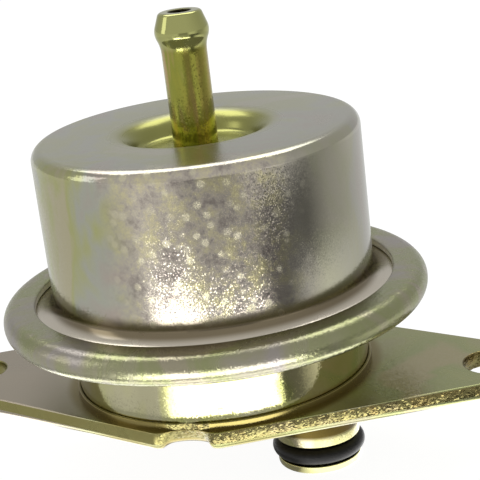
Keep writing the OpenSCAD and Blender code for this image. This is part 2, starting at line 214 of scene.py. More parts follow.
def steel_finish(name, film, patch_mm, crystal_mm, crystal_tilt, rough, wave_tilt=0.0, zones=(), marks=None,
                 streak=1.0, run=0.5):
    """Steel, plated or bare. Its film drifts through the given tints in patches patch_mm wide, its crystals
    lean by up to crystal_tilt degrees, and the sheet itself waves by wave_tilt degrees.
    A zone is (way, from, to, tint, share, dulling): towards `to` the film takes that share of the tint, the
    finish is duller by dulling and the crystals lie calmer. marks holds what water_marks needs, a streak below
    1 flattens the crystals, and a run below 1 draws the film's patches out downwards."""
    made, tree = new_material(name)
    where = node(tree, "ShaderNodeTexCoord").outputs["Object"]
    dripped = node(tree, "ShaderNodeVectorMath", {"operation": "MULTIPLY"}, i0=where,
                   i1=(1, 1, run)).outputs[0]
    drift = node(tree, "ShaderNodeTexNoise", Vector=dripped, Scale=per(patch_mm), Detail=3.0, Roughness=0.55,
                 Distortion=0.6).outputs["Fac"]
    tint = node(tree, "ShaderNodeValToRGB", stops=list(zip(FILM_STOPS, map(linear, film))),
                Fac=drift).outputs["Color"]
    dullness = node(tree, "ShaderNodeMapRange", Value=drift, From_Min=DULL_STOPS[0], From_Max=DULL_STOPS[1],
                    To_Min=rough * (1 + DULL_DRIFT), To_Max=rough * (1 - DULL_DRIFT)).outputs["Result"]
    if marks:
        tint, dullness = water_marks(tree, where, tint, dullness, *marks)
    sparkle = math.tan(math.radians(crystal_tilt)) / FULL_LEAN ** 3
    for way, start, end, zone_tint, most, dulling in zones:
        share = zone_share(tree, where, way, start, end, most)
        tint = node(tree, "ShaderNodeMix", {"data_type": "RGBA"}, i0=share, i6=tint,
                    i7=linear(zone_tint)).outputs[2]
        dullness = node(tree, "ShaderNodeMath", {"operation": "MULTIPLY_ADD"}, i0=share, i1=dulling,
                        i2=dullness).outputs[0]
        outside = node(tree, "ShaderNodeMath", {"operation": "SUBTRACT"}, i0=1.0, i1=share).outputs[0]
        sparkle = node(tree, "ShaderNodeMath", {"operation": "MULTIPLY"}, i0=sparkle, i1=outside).outputs[0]
    facing = crystal_facing(tree, where, crystal_mm, streak, sparkle)
    wave = node(tree, "ShaderNodeTexNoise", Vector=where, Scale=per(SWELL_MM), Detail=0.0).outputs["Fac"]
    swell = node(tree, "ShaderNodeMath", {"operation": "MULTIPLY"}, i0=wave,
                 i1=SWELL_MM * math.tan(math.radians(wave_tilt))).outputs[0]
    lie = node(tree, "ShaderNodeBump", Strength=1.0, Distance=MM, Height=swell,
               Normal=facing).outputs["Normal"]
    skin = node(tree, "ShaderNodeBsdfPrincipled", Base_Color=tint, Metallic=1.0, Roughness=dullness, Normal=lie)
    node(tree, "ShaderNodeOutputMaterial", Surface=skin.outputs["BSDF"])
    return made


# The plating's crystals are finer than a pixel, so in all these finishes they are drawn 0.1 to 0.3 mm wide.

# Pale passivated zinc on drawn sheet: silver-grey with soft yellow-green and pink clouds, sparkling where
# bright and dark meet, dotted with dried water marks, greyer towards the spigot and duller on the flat top.
# Painted light: the foot is painted brown as shade and dark reflection, the pale ring below it is a painted
# highlight, and the dish is greener and darkened with painted shade
COVER_STEEL = steel_finish(
    "zinc_plate_pale_passivated", ("#a69c92", "#a2a396", "#a4a582", "#a3a472", "#aca688"),
    9, 0.1, 4.0, 0.13,
    marks=(1.5, (NOTCH_SIDE, 14.5, 17.5), "#ccc6aa", ("#958c84", "#b5ada0", "#cac29a")),
    zones=((SPIGOT_SIDE, 13.5, 16.5, "#a4a196", 0.7, 0),
           # Painted shade: the foot's fillet made brown for the shade and dark reflection in it
           (UP, 15.8, 14.2, "#7a6f5a", 1, 0.03),
           # Painted highlight: the flange ring below the foot made pale
           (UP, 13.5, 12.7, "#cac2b2", 1, 0.06),
           # Painted shade: the dish made darker, and greener
           ("r", 10.4, 8.6, "#8e8e54", 1, 0.14),
           (UP, 31.3, 31.65, "#a4a398", 0.5, 0.24)))
# Yellow passivated zinc on deep-drawn sheet: mirror-like, olive to straw, slightly wavy reflections
CUP_STEEL = steel_finish(
    "zinc_plate_yellow_bright_drawn", ("#b0ac8c", "#b0ae7e", "#b2b076", "#a8aa6c", "#b6b084"),
    9, 0.14, 1.8, 0.1, wave_tilt=0.8)
# The same plate after rolling: the tool has roughened and greyed it, so it glitters
RIM_STEEL = steel_finish(
    "zinc_plate_yellow_rolled", ("#97918a", "#96927c", "#949474", "#8f926a", "#9a947e"),
    8, 0.1, 8, 0.27)
# Yellow passivated zinc on rolled strip: satin, olive-grey, greyer at the left end, and darkened around the pad
# with painted shade where the cup stands on it
FLANGE_STEEL = steel_finish(
    "zinc_plate_yellow_strip", ("#9a9678", "#989670", "#96986a", "#929668", "#a09874"),
    15, 0.16, 3, 0.28,
    zones=((LEFT_END, 5, 25, "#9f9584", 1, 0),
           # Painted shade around the pad, at the cup's foot
           ("r", 19.3, 18.1, "#7d7040", 0.9, 0)))
# Sheared edge under the same film: torn grains drawn out along the cut, which catch gold light
EDGE_STEEL = steel_finish(
    "zinc_plate_yellow_sheared", ("#70633e", "#786d45", "#78724a", "#68613e", "#7f7654"),
    4, 0.22, 18, 0.2, streak=0.45, zones=((LEFT_END, 0, 4, "#858050", 0.8, 0.1),))
# Yellow passivated zinc on turned steel: the thickest film, so the deepest yellow-olive, run down in streaks;
# paler on the barb as a painted highlight where it faces the light, and painted shade darkening the drilled bore
NIPPLE_STEEL = steel_finish(
    "zinc_plate_yellow_turned", ("#9c8a50", "#988c46", "#929040", "#8a8c40", "#a69260"),
    2.5, 0.16, 3.2, 0.17, run=0.12,
    # Painted highlight: the barb made paler
    zones=((UP, 40.6, 41.6, "#a4a56a", 1, -0.05),
           # Painted shade: the drilled bore made dark
           ("r", 1.5, 1.25, "#241f12", 1, 0.3)))
# The same on the spigot, with painted shade: a dark brown band high on its land, under the flange, stands for
# the shade and dark reflection there
SPIGOT_STEEL = steel_finish(
    "zinc_plate_yellow_turned_painted_shade", ("#b0aa84", "#aea87a", "#aca878", "#a6a476", "#b4ac8c"),
    4, 0.16, 4.5, 0.2, zones=((UP, -5.8, -5.1, "#4a3f1e", 1, 0.1),))
# Plain machined steel: neutral grey and satin
PLAIN_STEEL = steel_finish(
    "steel_machined_plain", ("#9c9c9a", "#989896", "#949494", "#909090", "#a09e9a"),
    4, 0.3, 3, 0.28)
# Drawn spring wire: a darker grey, and duller
SPRING_STEEL = steel_finish(
    "spring_wire_drawn", ("#7c7c7e", "#78787a", "#747476", "#6e6e70", "#808082"),
    3, 0.3, 3, 0.35)


def rubber(name, base, bloom, grain_mm):
    """Rubber: matte, with a pale bloom and a fine grain."""
    made, tree = new_material(name)
    where = node(tree, "ShaderNodeTexCoord").outputs["Object"]
    grain = node(tree, "ShaderNodeTexNoise", Vector=where, Scale=per(grain_mm), Detail=4.0).outputs["Fac"]
    tint = node(tree, "ShaderNodeValToRGB", stops=[(0.35, linear(base)), (0.7, linear(bloom))],
                Fac=grain).outputs["Color"]
    lie = node(tree, "ShaderNodeBump", Strength=0.6, Distance=0.02 * MM, Height=grain).outputs["Normal"]
    skin = node(tree, "ShaderNodeBsdfPrincipled", Base_Color=tint, Roughness=0.45, Specular_IOR_Level=0.2,
                Normal=lie)
    node(tree, "ShaderNodeOutputMaterial", Surface=skin.outputs["BSDF"])
    return made


# Moulded nitrile rubber: black, with a soft wide sheen
RUBBER = rubber("nitrile_rubber_moulded", "#0c0c0b", "#171615", 0.4)
# Rubber-coated fabric: a little greyer, its weave drawn as a grain of 0.6 mm
FABRIC_RUBBER = rubber("rubber_coated_fabric", "#222224", "#323234", 0.6)


# Outlines in millimetres

def arc(centre, radius, start, sweep, steps):
    """Points of an arc."""
    return [(centre[0] + radius * math.cos(start + sweep * i / steps),
             centre[1] + radius * math.sin(start + sweep * i / steps)) for i in range(steps + 1)]


HOLE_STEPS = 64


def hole_edge(x, radius):
    """A hole's outline, run clockwise so that its outward side is the hole's middle."""
    return arc((x, 0), radius, 0, -math.tau, HOLE_STEPS)[:-1]


def turn_between(a, b):
    """Signed angle from direction a to direction b."""
    return math.atan2(a.x * b.y - a.y * b.x, a.dot(b))


def rounded(outline, steps=6):
    """A closed (r, z) outline from (r, z, radius) corners, with each corner rounded to its radius."""
    points = []
    for i, (r, z, radius) in enumerate(outline):
        here = Vector((r, z))
        before = (Vector(outline[i - 1][:2]) - here).normalized()
        after = (Vector(outline[(i + 1) % len(outline)][:2]) - here).normalized()
        if radius <= 0:
            points.append((r, z))
            continue
        half = before.angle(after) / 2
        hub = here + (before + after).normalized() * radius / math.sin(half)
        a = here + before * radius / math.tan(half) - hub
        b = here + after * radius / math.tan(half) - hub
        points += arc(hub, radius, math.atan2(a.y, a.x), turn_between(a, b), steps)
    return points


BEND_STEPS = 12
END_STEPS = 5


def sheet_outline(path, thick, end_round):
    """Outline of a drawn sheet from the corners (r, z, bend radius) of its middle line."""
    sides = {1: [], -1: []}
    for i, corner in enumerate(path):
        here = Vector(corner[:2])
        way_in = (here - Vector(path[i - 1][:2])).normalized() if i else None
        way_out = (Vector(path[i + 1][:2]) - here).normalized() if i < len(path) - 1 else None
        if way_in is None or way_out is None:
            way = way_out or way_in
            left = Vector((-way.y, way.x))
            inward = way if way_in is None else -way
            for side in sides:
                hub = here + left * side * (thick / 2 - end_round) + inward * end_round
                a, b = (-inward, left * side) if way_in is None else (left * side, -inward)
                sides[side] += arc(hub, end_round, math.atan2(a.y, a.x), turn_between(a, b), END_STEPS)
            continue
        turn = turn_between(way_in, way_out)
        bend = corner[2]
        start = here - way_in * bend * math.tan(abs(turn) / 2)
        hub = start + Vector((-way_in.y, way_in.x)) * math.copysign(bend, turn)
        spoke = start - hub
        for side in sides:
            radius = bend - side * math.copysign(thick / 2, turn)
            sides[side] += arc(hub, radius, math.atan2(spoke.y, spoke.x), turn, BEND_STEPS)
    return sides[1] + sides[-1][::-1]


# Meshes

def mesh_from(verts, faces):
    """A mesh from points in millimetres, with its faces turned outward."""
    mesh = bpy.data.meshes.new("piece")
    mesh.from_pydata([Vector(v) * MM for v in verts], [], faces)
    bm = bmesh.new()
    bm.from_mesh(mesh)
    bmesh.ops.recalc_face_normals(bm, faces=bm.faces)
    bm.to_mesh(mesh)
    bm.free()
    return mesh


def turned(outline, turns, centre=(0.0, 0.0)):
    """Points and faces of a closed outline turned around a vertical axis, segment by segment at each step."""
    count = len(outline)
    angles = [math.tau * k / turns for k in range(turns)]
    verts = [(centre[0] + r * math.cos(a), centre[1] + r * math.sin(a), z) for a in angles for r, z in outline]
    faces = [(k * count + i, (k + 1) % turns * count + i, (k + 1) % turns * count + (i + 1) % count,
              k * count + (i + 1) % count) for k in range(turns) for i in range(count)]
    return verts, faces


def lathe(outline, turns, centre=(0.0, 0.0)):
    """A closed outline turned around a vertical axis."""
    return mesh_from(*turned(outline, turns, centre))


def fill(verts, rings):
    """Triangles of the flat face that rings of point numbers bound."""
    order = [i for ring in rings for i in ring]
    flat = [[Vector(verts[i][:2] + (0,)) for i in ring] for ring in rings]
    return [tuple(order[i] for i in triangle) for triangle in tessellate_polygon(flat)]


def finish_piece(mesh, name, materials, node_name, sharp_deg=35):
    """Puts a mesh into the scene in place of its CAD node."""
    piece = bpy.data.objects.new(name, mesh)
    bpy.context.scene.collection.objects.link(piece)
    for material in materials:
        mesh.materials.append(material)
    mesh.shade_smooth()
    mesh.set_sharp_from_angle(angle=math.radians(sharp_deg))
    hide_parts(node_name)
    return piece


# Steps around the turned pieces
COVER_TURNS = 160
HOUSING_TURNS = 192
DISC_TURNS = 128
SMALL_TURNS = 96

# Spring cover: dish, flat top, tall wall and a widely flared foot that runs out under the rolled lip
COVER_TOP_BEND = 1.4
COVER_FLARE = 1.9
COVER_END_ROUND = 0.1
DISH_R = 9.8
DISH_DEPTH = 2.4
DISH_SLOPE = math.radians(65)
DISH_LIP_ROUND = 2.8
DISH_FILLET = 0.9
DISH_Z = COVER_TOP - DISH_DEPTH
lip_bend = DISH_LIP_ROUND - SHEET / 2
dish_top_r = DISH_R - lip_bend * math.tan(DISH_SLOPE / 2)
dish_low_r = dish_top_r - DISH_DEPTH / math.tan(DISH_SLOPE)
cover = sheet_outline([(NIPPLE_R + CLEARANCE, DISH_Z - SHEET / 2),
                       (dish_low_r, DISH_Z - SHEET / 2, DISH_FILLET + SHEET / 2),
                       (dish_top_r, COVER_TOP - SHEET / 2, lip_bend),
                       (COVER_R - SHEET / 2, COVER_TOP - SHEET / 2, COVER_TOP_BEND - SHEET / 2),
                       (COVER_R - SHEET / 2, COVER_LO.z + SHEET / 2, COVER_FLARE + SHEET / 2),
                       (COVER_HI.x, COVER_LO.z + SHEET / 2)], SHEET, COVER_END_ROUND)
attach(finish_piece(lathe(cover, COVER_TURNS), "cover_shell", [COVER_STEEL], "spring_cover"),
        "casing")

# Lower housing: bright cup with a rolled rim
SEAT_TUBE_R = 3.2
CUP_INNER_BEND = 0.15
CUP_CORNER = 0.3
LEDGE_FILLET = 0.8
RIM_SIDE_FLAT = 0.1
LIP_GAP = 2.2
LIP_END_ROUND = 0.3
rim_bend = (LIP_Z - CLAMP_Z + SHEET - RIM_SIDE_FLAT) / 2
housing = sheet_outline([(SEAT_TUBE_R + CLEARANCE, PAD_Z + SHEET / 2),
                         (CUP_R - SHEET / 2, PAD_Z + SHEET / 2, CUP_INNER_BEND + SHEET / 2),
                         (CUP_R - SHEET / 2, LEDGE_Z + SHEET / 2, LEDGE_FILLET + SHEET / 2),
                         (RIM_R - SHEET / 2, LEDGE_Z + SHEET / 2, rim_bend),
                         (RIM_R - SHEET / 2, LIP_Z + SHEET / 2, rim_bend),
                         (COVER_R + LIP_GAP, LIP_Z + SHEET / 2)], SHEET, LIP_END_ROUND)
# The cup's lower corner is set sharper than its bend
bend_r = CUP_INNER_BEND + SHEET
tighter = CUP_CORNER / bend_r
for i, (r, z) in enumerate(housing):
    off_bend = math.hypot(r - CUP_R + bend_r, z - PAD_Z - bend_r) - bend_r
    if abs(off_bend) < CLEARANCE and r > CUP_R - bend_r and z < PAD_Z + bend_r:
        housing[i] = (CUP_R - (CUP_R - r) * tighter, PAD_Z + (z - PAD_Z) * tighter)
shell_verts, shell_faces = turned(housing, HOUSING_TURNS)
count = len(housing)
ring_end = count * HOUSING_TURNS


def spans_shank(i):
    """Whether a segment of the housing's outline reaches across the spigot's shank."""
    inner, outer = sorted((housing[i][0], housing[(i + 1) % count][0]))
    return inner < SPIGOT_X - SHANK_R and outer > SPIGOT_X + SHANK_R


# The shank passes through the cup's floor, whose upper and lower face get a round hole
floors = [i for i in range(count) if spans_shank(i)]
shell_faces = [face for number, face in enumerate(shell_faces) if number % count not in floors]
holes = []
for i in floors:
    hole = range(len(shell_verts), len(shell_verts) + HOLE_STEPS)
    shell_verts += [(x, y, housing[i][1]) for x, y in hole_edge(SPIGOT_X, SHANK_R + CLEARANCE)]
    inner, outer = (range(at, ring_end, count) for at in (i, (i + 1) % count))
    shell_faces += fill(shell_verts, [inner, outer, hole])
    holes.append(hole)
shell_faces += [(a, holes[0][k - 1], holes[1][k - 1], holes[1][k]) for k, a in enumerate(holes[0])]
housing_mesh = mesh_from(shell_verts, shell_faces)
for face in housing_mesh.polygons:
    face.material_index = int(math.hypot(face.center.x, face.center.y) > (CUP_R + LEDGE_FILLET) * MM)
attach(finish_piece(housing_mesh, "housing_shell", [CUP_STEEL, RIM_STEEL], "lower_housing"),
        "casing")

# Vacuum nipple, turned. Its barb is one smooth bulge: the corner stands out a little further than the barb,
# and the rounding takes it back
NIPPLE_BORE = 1.2
NIPPLE_FOOT_T = 0.8
BARB_R = 3.13
BARB_CORNER_OUT = 0.11
BARB_DOWN = 2.3
BARB_ROUND = 2.0
NECK_DOWN = 3.8
NECK_ROUND = 4.0
TIP_R = 2.43
TIP_ROUND = 0.5
TIP_BORE_EDGE = 0.25
FOOT_ROUND = 0.15
FOOT_EDGE = 0.1
FOOT_ROOT = 0.05
NIPPLE_STEPS = 10
tip = NIPPLE_HI.z
foot = NIPPLE_LO.z
nipple = rounded([(NIPPLE_BORE, foot, FOOT_EDGE),
                  (NIPPLE_HI.x, foot, FOOT_ROUND),
                  (NIPPLE_HI.x, foot + NIPPLE_FOOT_T, FOOT_EDGE),
                  (NIPPLE_R, foot + NIPPLE_FOOT_T, FOOT_ROOT),
                  (NIPPLE_R, tip - NECK_DOWN, NECK_ROUND),
                  (BARB_R + BARB_CORNER_OUT, tip - BARB_DOWN, BARB_ROUND),
                  (TIP_R, tip, TIP_ROUND),
                  (NIPPLE_BORE, tip, TIP_BORE_EDGE)], NIPPLE_STEPS)
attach(finish_piece(lathe(nipple, SMALL_TURNS), "nipple_turned", [NIPPLE_STEEL], "vacuum_nipple"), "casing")

# Inlet spigot, turned, with a groove a little wider than its O-ring
INLET_BORE = 2.2
GROOVE_GAP = 0.02
GROOVE_WIDTH_IN_RINGS = 1.2
LAND_ROUND = 0.35
GROOVE_EDGE = 0.12
GROOVE_ROUND = 0.2
SHANK_ROUND = 0.4
BORE_ROUND = 0.2
land_r = (SPIGOT_HI.x - SPIGOT_LO.x) / 2
ring_out = (RING_HI.x - RING_LO.x) / 2
ring_half = (RING_HI.z - RING_LO.z) / 2
ring_z = (RING_HI.z + RING_LO.z) / 2
groove_r = ring_out - 2 * ring_half - GROOVE_GAP
groove_half = GROOVE_WIDTH_IN_RINGS * ring_half
spigot = rounded([(INLET_BORE, SPIGOT_LO.z, BORE_ROUND),
                  (land_r, SPIGOT_LO.z, LAND_ROUND),
                  (land_r, ring_z - groove_half, GROOVE_EDGE),
                  (groove_r, ring_z - groove_half, GROOVE_ROUND),
                  (groove_r, ring_z + groove_half, GROOVE_ROUND),
                  (land_r, ring_z + groove_half, GROOVE_EDGE),
                  (land_r, 0.0, 0.0),
                  (SHANK_R, 0.0, 0.0),
                  (SHANK_R, SPIGOT_HI.z, SHANK_ROUND),
                  (INLET_BORE, SPIGOT_HI.z, BORE_ROUND)])
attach(finish_piece(lathe(spigot, SMALL_TURNS, (SPIGOT_X, 0)), "spigot_turned", [SPIGOT_STEEL],
                     "inlet_spigot"), "casing")

# O-ring, moulded
O_RING_STEPS = 24
o_ring = arc((ring_out - ring_half, ring_z), ring_half, 0, math.tau, O_RING_STEPS)[:-1]
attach(finish_piece(lathe(o_ring, SMALL_TURNS, (SPIGOT_X, 0)), "o_ring_moulded", [RUBBER], "spigot_o_ring"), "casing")

# Mounting flange: a stamping with a rolled lower edge, torn walls and a crisp upper edge, a notch in its front
# corner and a raised pad under the cup
HOLE_X = 32.0
HOLE_R = 3.5
HOLE_ROLL = 0.2
HOLE_CRISP = 0.15
PORT_R = 4.0
PORT_ROLL = 0.15
END_R = 5.75
HALF_W = 20.3
REAR_R = 6.0
SHOULDER_R = 1.7
NOTCH_R = 3.6
NOTCH_WALL = 0.12
NOTCH_Y = -(CUP_R + NOTCH_WALL + NOTCH_R)
NOTCH_UNDERCUT = 0.8
NOTCH_HALF = 2.9
NOTCH_FADE = 1.4
EDGE_ROLL = 0.8
EDGE_CRISP = 0.12
EDGE_TEAR = 0.28
PAD_OUT = 0.35
PAD_R = CUP_R + PAD_OUT
PAD_ROUND = 0.12
PAD_STEP_IN = 0.05
RIDGE_GAP = 0.02
RIDGE_R = CUP_R + RIDGE_GAP
RIDGE_W = PAD_R - RIDGE_R
RIDGE_H = 0.3
FLANGE_SHARP_DEG = 50
# Steps along the outlines and across the edges
PLATE_END_STEPS = 40
REAR_STEPS = 16
SHOULDER_STEPS = 12
NOTCH_STEPS = 28
PAD_STEPS = 180
PAD_NOTCH_STEPS = 20
ROLL_STEPS = 5
CRISP_STEPS = 3
RIDGE_STEPS = 4

slope = math.atan2(HALF_W, HOLE_X) - math.asin(END_R / math.hypot(HOLE_X, HALF_W))
along = Vector((math.cos(slope), math.sin(slope)))
inward = Vector((-math.sin(slope), math.cos(slope)))
corner = Vector((0, -HALF_W))
to_corner = corner - Vector((0, NOTCH_Y)) + SHOULDER_R * inward
ahead = to_corner.dot(along)
shoulder = corner + SHOULDER_R * inward + along * (
    math.sqrt(ahead ** 2 - to_corner.length_squared + (NOTCH_R + SHOULDER_R) ** 2) - ahead)
notch_turn = math.atan2(shoulder.y - NOTCH_Y, shoulder.x)
quarter = math.pi / 2
end_sweep = 2 * (quarter - slope)
shoulder_sweep = quarter + slope - notch_turn
plate_edge = (arc((HOLE_X, 0), END_R, slope - quarter, end_sweep, PLATE_END_STEPS)
              + arc((0, HALF_W - REAR_R / math.cos(slope)), REAR_R, quarter - slope, 2 * slope, REAR_STEPS)
              + arc((-HOLE_X, 0), END_R, quarter + slope, end_sweep, PLATE_END_STEPS)
              + arc((-shoulder.x, shoulder.y), SHOULDER_R, 3 * quarter - slope, shoulder_sweep, SHOULDER_STEPS)
              + arc((0, NOTCH_Y), NOTCH_R, math.pi - notch_turn, 2 * notch_turn - math.pi, NOTCH_STEPS)[1:-1]
              + arc(shoulder, SHOULDER_R, math.pi + notch_turn, shoulder_sweep, SHOULDER_STEPS))
# The pad and its raised edge run out at the notch, where the cup's wall stands flush
pad_notch_r = NOTCH_R + PAD_STEP_IN
meet = math.acos((PAD_R ** 2 + NOTCH_Y ** 2 - pad_notch_r ** 2) / (-2 * PAD_R * NOTCH_Y))
meet_turn = math.atan2(-PAD_R * math.cos(meet) - NOTCH_Y, PAD_R * math.sin(meet))
notch_sweep = 2 * meet_turn - math.pi
pad_edge = (arc((0, 0), PAD_R, meet - quarter, math.tau - 2 * meet, PAD_STEPS)
            + arc((0, NOTCH_Y), pad_notch_r, math.pi - meet_turn, notch_sweep, PAD_NOTCH_STEPS)[1:-1])


def inset(loop, distances):
    """The loop's points moved into the metal, each by its own distance."""
    moved = []
    for i, (x, y) in enumerate(loop):
        way = (Vector(loop[(i + 1) % len(loop)]) - Vector(loop[i - 1])).normalized()
        moved.append((x - way.y * distances[i], y + way.x * distances[i]))
    return moved


def in_notch(x, y):
    """1 in the notch's middle, 0 outside it."""
    share = min(1, max(0, (NOTCH_HALF - abs(x)) / NOTCH_FADE)) if y < 0 else 0
    return share * share * (3 - 2 * share)


def roll(radius, z, rise, steps):
    """(inset, z) steps round an edge, from the face at z into the wall (rise 1) or back out of it (-1)."""
    turns = [quarter * i / steps for i in range(steps + 1)]
    way = [(radius * (1 - math.sin(turn)), z + rise * radius * (1 - math.cos(turn))) for turn in turns]
    return way if rise > 0 else way[::-1]


def edge_ring(depth, z):
    """The plate's outline at one level; the notch's wall is plain above the roll and undercut."""
    undercut = NOTCH_UNDERCUT * (1 - z / FLANGE_T)
    shares = [in_notch(x, y) for x, y in plate_edge]
    depths = [depth * (1 - share * (z > EDGE_ROLL)) + share * undercut for share in shares]
    return [(x, y, z) for x, y in inset(plate_edge, depths)]


def ridge_ring(depth, z):
    """The outline of the pad's raised edge at one step across it; the edge narrows where it runs out."""
    depths = [depth * (math.hypot(x, y) - RIDGE_R) / RIDGE_W for x, y in pad_edge]
    return [(x, y, PAD_Z + z) for x, y in inset(pad_edge, depths)]


def hole_rings(x, radius, profile):
    """A hole's outlines at the steps of its wall."""
    loop = hole_edge(x, radius)
    return [[(px, py, z) for px, py in inset(loop, [depth] * HOLE_STEPS)] for depth, z in profile]


def plate_wall(row, x, y):
    """The plate's wall is torn between its rolled and its crisp edge."""
    return row == ROLL_STEPS


def punched_wall(row, x, y):
    """A punched hole's wall is torn all over."""
    return True


def ridge_wall(row, x, y):
    """The pad's raised edge is torn where the notch cuts it off."""
    return in_notch(x, y) > 0.5


plate_verts, plate_faces, sheared = [], [], []
flats = {"under": [], "top": [], "pad": []}


def add_wall(rings, lower, upper, is_torn):
    """Joins rings of points to a wall between two flats; is_torn says by row and place which faces are."""
    base, count = len(plate_verts), len(rings[0])
    for ring in rings:
        plate_verts.extend(ring)
    for row in range(len(rings) - 1):
        low, high = base + row * count, base + (row + 1) * count
        for i in range(count):
            j = (i + 1) % count
            face = (low + i, low + j, high + j, high + i)
            middle = sum((Vector(plate_verts[v]) for v in face), Vector()) / len(face)
            plate_faces.append(face)
            sheared.append(is_torn(row, middle.x, middle.y))
    flats[lower].append(range(base, base + count))
    flats[upper].append(range(len(plate_verts) - count, len(plate_verts)))


edge_steps = roll(EDGE_ROLL, 0, 1, ROLL_STEPS) + [(EDGE_TEAR + depth, z) for depth, z in
                                                  roll(EDGE_CRISP, FLANGE_T, -1, CRISP_STEPS)]
bolt_steps = roll(HOLE_ROLL, 0, 1, CRISP_STEPS) + roll(HOLE_CRISP, FLANGE_T, -1, CRISP_STEPS)
port_steps = roll(PORT_ROLL, 0, 1, CRISP_STEPS) + [(0, PAD_Z)]
ridge_top = roll(PAD_ROUND, RIDGE_H, -1, RIDGE_STEPS)
ridge_steps = ([(0, FLANGE_T - PAD_Z)] + ridge_top + [(RIDGE_W - depth, z) for depth, z in ridge_top[::-1]]
               + [(RIDGE_W, 0)])
add_wall([edge_ring(*step) for step in edge_steps], "under", "top", plate_wall)
for x in (HOLE_X, -HOLE_X):
    add_wall(hole_rings(x, HOLE_R, bolt_steps), "under", "top", punched_wall)
add_wall(hole_rings(0, PORT_R, port_steps), "under", "pad", punched_wall)
add_wall(hole_rings(SPIGOT_X, SHANK_R, [(0, 0), (0, PAD_Z)]), "under", "pad", punched_wall)
add_wall([ridge_ring(*step) for step in ridge_steps], "top", "pad", ridge_wall)
for rings in flats.values():
    plate_faces += fill(plate_verts, rings)
plate_mesh = mesh_from(plate_verts, plate_faces)
for face, torn in zip(plate_mesh.polygons, sheared):
    face.material_index = int(torn)
plate = finish_piece(plate_mesh, "flange_stamped", [FLANGE_STEEL, EDGE_STEEL], "mounting_flange",
                     FLANGE_SHARP_DEG)
for face in plate.data.polygons[len(sheared):]:
    face.use_smooth = False
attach(plate, "casing")

# Main spring, wound with closed and ground ends
SPRING_WIRE = 2.2
SPRING_MEAN_R = SPRING_HI.x - SPRING_WIRE / 2
SPRING_TURNS = 6.5
CLOSED_RISE = 1.22 * SPRING_WIRE
GROUND_START = 0.2 * SPRING_WIRE
WIRE_SIDES = 14
STEPS_PER_TURN = 48
spring_h = SPRING_HI.z - SPRING_LO.z


def wire_height(turns):
    """Height of the wire's middle above the spring's foot after so many turns."""
    if turns < 1:
        return GROUND_START + (CLOSED_RISE - GROUND_START) * turns
    if turns > SPRING_TURNS - 1:
        return spring_h - GROUND_START - (CLOSED_RISE - GROUND_START) * (SPRING_TURNS - turns)
    return CLOSED_RISE + (spring_h - 2 * CLOSED_RISE) * (turns - 1) / (SPRING_TURNS - 2)


coil_verts, coil_faces = [], []
coil_steps = int(SPRING_TURNS * STEPS_PER_TURN)
for i in range(coil_steps + 1):
    turns = i / STEPS_PER_TURN
    a = math.tau * turns
    for k in range(WIRE_SIDES):
        b = math.tau * (k + 0.5) / WIRE_SIDES
        out = SPRING_MEAN_R + SPRING_WIRE / 2 * math.cos(b)
        z = min(spring_h, max(0, wire_height(turns) + SPRING_WIRE / 2 * math.sin(b)))
        coil_verts.append((out * math.cos(a), out * math.sin(a), SPRING_LO.z + z))
for i in range(coil_steps):
    low, high = i * WIRE_SIDES, (i + 1) * WIRE_SIDES
    for k in range(WIRE_SIDES):
        n = (k + 1) % WIRE_SIDES
        coil_faces.append((low + k, low + n, high + n, high + k))
coil_faces.append(tuple(range(WIRE_SIDES)))
coil_faces.append(tuple(coil_steps * WIRE_SIDES + k for k in range(WIRE_SIDES)))
spring = finish_piece(mesh_from(coil_verts, coil_faces), "spring_wound", [SPRING_STEEL], "main_spring")
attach(spring, "casing")
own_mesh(spring)

# Diaphragm, its edge clamped in the rim
STEM_R = 4.05
ROLL_IN_R = 13.7
ROLL_OUT_R = 16.2
ROLL_BEND = 2.0
DISC_END_ROUND = 0.05
disc = sheet_outline([(STEM_R, DISC_LO.z + DIAPHRAGM_T / 2),
                      (ROLL_IN_R, DISC_LO.z + DIAPHRAGM_T / 2, ROLL_BEND),
                      (ROLL_OUT_R, CLAMP_Z + DIAPHRAGM_T / 2, ROLL_BEND),
                      (DISC_HI.x, CLAMP_Z + DIAPHRAGM_T / 2)], DIAPHRAGM_T, DISC_END_ROUND)
diaphragm = finish_piece(lathe(disc, DISC_TURNS), "diaphragm_pressed", [FABRIC_RUBBER], "diaphragm")
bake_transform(diaphragm)

# Finish of the inner pieces that keep their CAD mesh
SOLID_SHARP_DEG = 30
INNER_FINISH = {"spring_seat": PLAIN_STEEL, "diaphragm_washer": PLAIN_STEEL, "valve_holder": PLAIN_STEEL,
                "valve_ball": PLAIN_STEEL, "ball_spring": SPRING_STEEL, "ball_retainer": PLAIN_STEEL,
                "valve_seat": PLAIN_STEEL}
for name, material in INNER_FINISH.items():
    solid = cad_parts[name].data
    solid.materials.clear()
    solid.materials.append(material)
    solid.shade_smooth()
    solid.set_sharp_from_angle(angle=math.radians(SOLID_SHARP_DEG))

# Studio: the camera sees plain white paper. Reflections alone see painted reflections of a room on it: a bright
# pool in front that glows though it is no lamp, bright and dark rings close to the part, and beyond them three
# grounds that change with the bearing.
POOL_LEVEL = 8.0
POOL_LEFT, POOL_RIGHT, POOL_SOFT = 108, 90, 8
POOL_SIDES_DEG = (0, 12)
